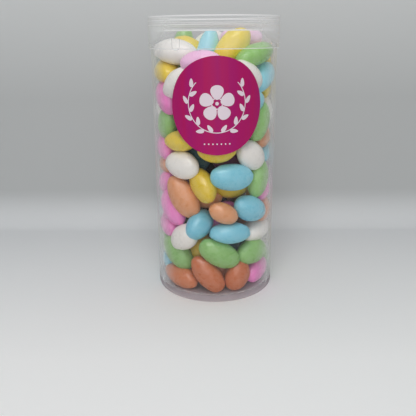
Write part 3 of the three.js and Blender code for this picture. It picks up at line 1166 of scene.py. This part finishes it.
def clear_plastic(name, zones, zone_milk, least_veil, slanted, front_milk, slant_milk_and_reflection, rising):
    """Glass under a veil with some milk in it: one amount seen straight on, another at a slant,
    where the milk is partly the plastic's own cloudiness and partly painted reflection.

    What the slant adds grows with height, between the two heights of rising."""
    made, tree, shader = material(name)
    shader.inputs["Base Color"].default_value = PLASTIC_TINT
    shader.inputs["Roughness"].default_value = PLASTIC_ROUGHNESS
    shader.inputs["IOR"].default_value = PLASTIC_IOR
    shader.inputs["Transmission Weight"].default_value = 1
    height, frost_and_lines, milk_and_line_colour = frost_and_painted_lines(tree, zones)
    facing = add(tree, "ShaderNodeLayerWeight", {"Blend": 0.5}).outputs["Facing"]
    slant = mapped(tree, facing, *slanted, 0, 1)
    share = worked(tree, "MAXIMUM", mapped(tree, slant, 0, 1, least_veil, 1), frost_and_lines)
    risen = worked(tree, "MULTIPLY", slant, mapped(tree, height, *rising, 0.3, 1))
    # At a slant the milk is partly cloudy plastic and partly painted reflection.
    haze_and_painted_reflection = mapped(tree, risen, 0, 1, front_milk, slant_milk_and_reflection)
    cloud = worked(tree, "MAXIMUM", haze_and_painted_reflection, mapped(tree, frost_and_lines, 0, 1, 0, zone_milk))
    clear = add(tree, "ShaderNodeBsdfTransparent", {"Color": (0.99, 0.99, 0.99, 1)})
    milk = add(tree, "ShaderNodeBsdfDiffuse", {"Color": milk_and_line_colour})
    veil = add(tree, "ShaderNodeMixShader", {0: cloud, 1: clear.outputs[0], 2: milk.outputs[0]})
    hazy = add(tree, "ShaderNodeMixShader", {0: share, 1: shader.outputs[0], 2: veil.outputs[0]})
    rays = add(tree, "ShaderNodeLightPath").outputs
    passing = worked(tree, "MAXIMUM", rays["Is Shadow Ray"], rays["Is Diffuse Ray"])
    through = add(tree, "ShaderNodeBsdfTransparent", {"Color": (0.993, 0.993, 0.995, 1)})
    both = add(tree, "ShaderNodeMixShader", {0: passing, 1: hazy.outputs[0], 2: through.outputs[0]})
    tree.links.new(both.outputs[0], tree.nodes["Material Output"].inputs["Surface"])
    return made


# %% [markdown]
# The tube is glass at the front and veiled only at a slant. The lid is veiled all over: light
# bent by both walls would show every almond twice. Its moulded edges are white lines, partly
# milky plastic and partly painted highlights, and the tab's edge is a grey one, painted
# shade, so that it shows against the almonds.

# %% Jar and lid
# The foot's mauve grey paints shade seen through milky plastic, the white edge lines are partly painted
# highlights, and the tab's grey line paints shade.
FOOT_FROST_AND_SHADE = (0.36, 0.3, 0.325, 1)
EDGE_FROST_AND_HIGHLIGHT = (0.98, 0.98, 0.98, 1)
TAB_SHADE_LINE = (0.3, 0.3, 0.3, 1)
RIM_LINE = PANEL_TOP + 2.1 * MM
jar_zones = [
    ("height", 0, 4.8 * MM, 1.6 * MM, FOOT_FROST_AND_SHADE),
    ("height", JAR_HEIGHT - 0.5 * MM, 0.3 * MM, 0.2 * MM, EDGE_FROST_AND_HIGHLIGHT),
]
lid_zones = [
    ("height", SKIRT_BOTTOM, 0.3 * MM, 0.3 * MM, EDGE_FROST_AND_HIGHLIGHT),
    ("height", PANEL_TOP - 0.3 * MM, 0.2 * MM, 0.2 * MM, EDGE_FROST_AND_HIGHLIGHT),
    ("height", RIM_LINE, 0.15 * MM, 0.2 * MM, EDGE_FROST_AND_HIGHLIGHT),
    ("height", LID_TOP, 0.5 * MM, 0.4 * MM, EDGE_FROST_AND_HIGHLIGHT),
    ("radius", LID_RADIUS + 0.2 * MM, 0.14 * MM, 0.04 * MM, TAB_SHADE_LINE),
]
jar_plastic = clear_plastic(
    "clear_plastic", jar_zones, zone_milk=0.54, least_veil=0, slanted=(0.4, 0.8),
    front_milk=0.27, slant_milk_and_reflection=0.27, rising=(-2 * MM, -1 * MM))
lid_plastic = clear_plastic(
    "lid_plastic", lid_zones, zone_milk=0.6, least_veil=1, slanted=(0.1, 0.7),
    front_milk=0.07, slant_milk_and_reflection=0.48, rising=(154 * MM, 161 * MM))
wear(jar, jar_plastic, "clear_plastic", "jar_body")
wear(lid, lid_plastic, "clear_plastic", "lid")
print(len(jar_zones), "frosted zones on the jar and", len(lid_zones), "on the lid")

# %% [markdown]
# The paper is printed deep magenta, with slow upright bands of a slightly more purple
# magenta. It is coated, so it has a soft shine, and the white ink has the same.

# %% Sticker paper and ink
MAGENTA, BAND_MAGENTA = (184, 24, 98), (174, 26, 110)
WHITE_INK = (240, 224, 234)
BAND_WAVES = (160, 160, 9)
PRINT_ROUGHNESS = 0.4
made, tree, shader = material("sticker_paper")
where = add(tree, "ShaderNodeTexCoord").outputs["Object"]
bands = add(tree, "ShaderNodeMapping", {"Vector": where, "Scale": BAND_WAVES}).outputs["Vector"]
band_mask = mapped(tree, noise(tree, bands, 1, 2), 0.35, 0.65, 0, 1)
tree.links.new(mixed(tree, band_mask, screen(*MAGENTA), screen(*BAND_MAGENTA)), shader.inputs["Base Color"])
shader.inputs["Roughness"].default_value = PRINT_ROUGHNESS
shader.inputs["Specular IOR Level"].default_value = 0.2
wear(sticker, made, "sticker_paper", "sticker")
made, tree, shader = material("sticker_ink")
shader.inputs["Base Color"].default_value = screen(*WHITE_INK)
shader.inputs["Roughness"].default_value = PRINT_ROUGHNESS
wear(ink, made, "sticker_paper", "sticker")
print("paper and ink laid on", sticker.name, "and", ink.name)
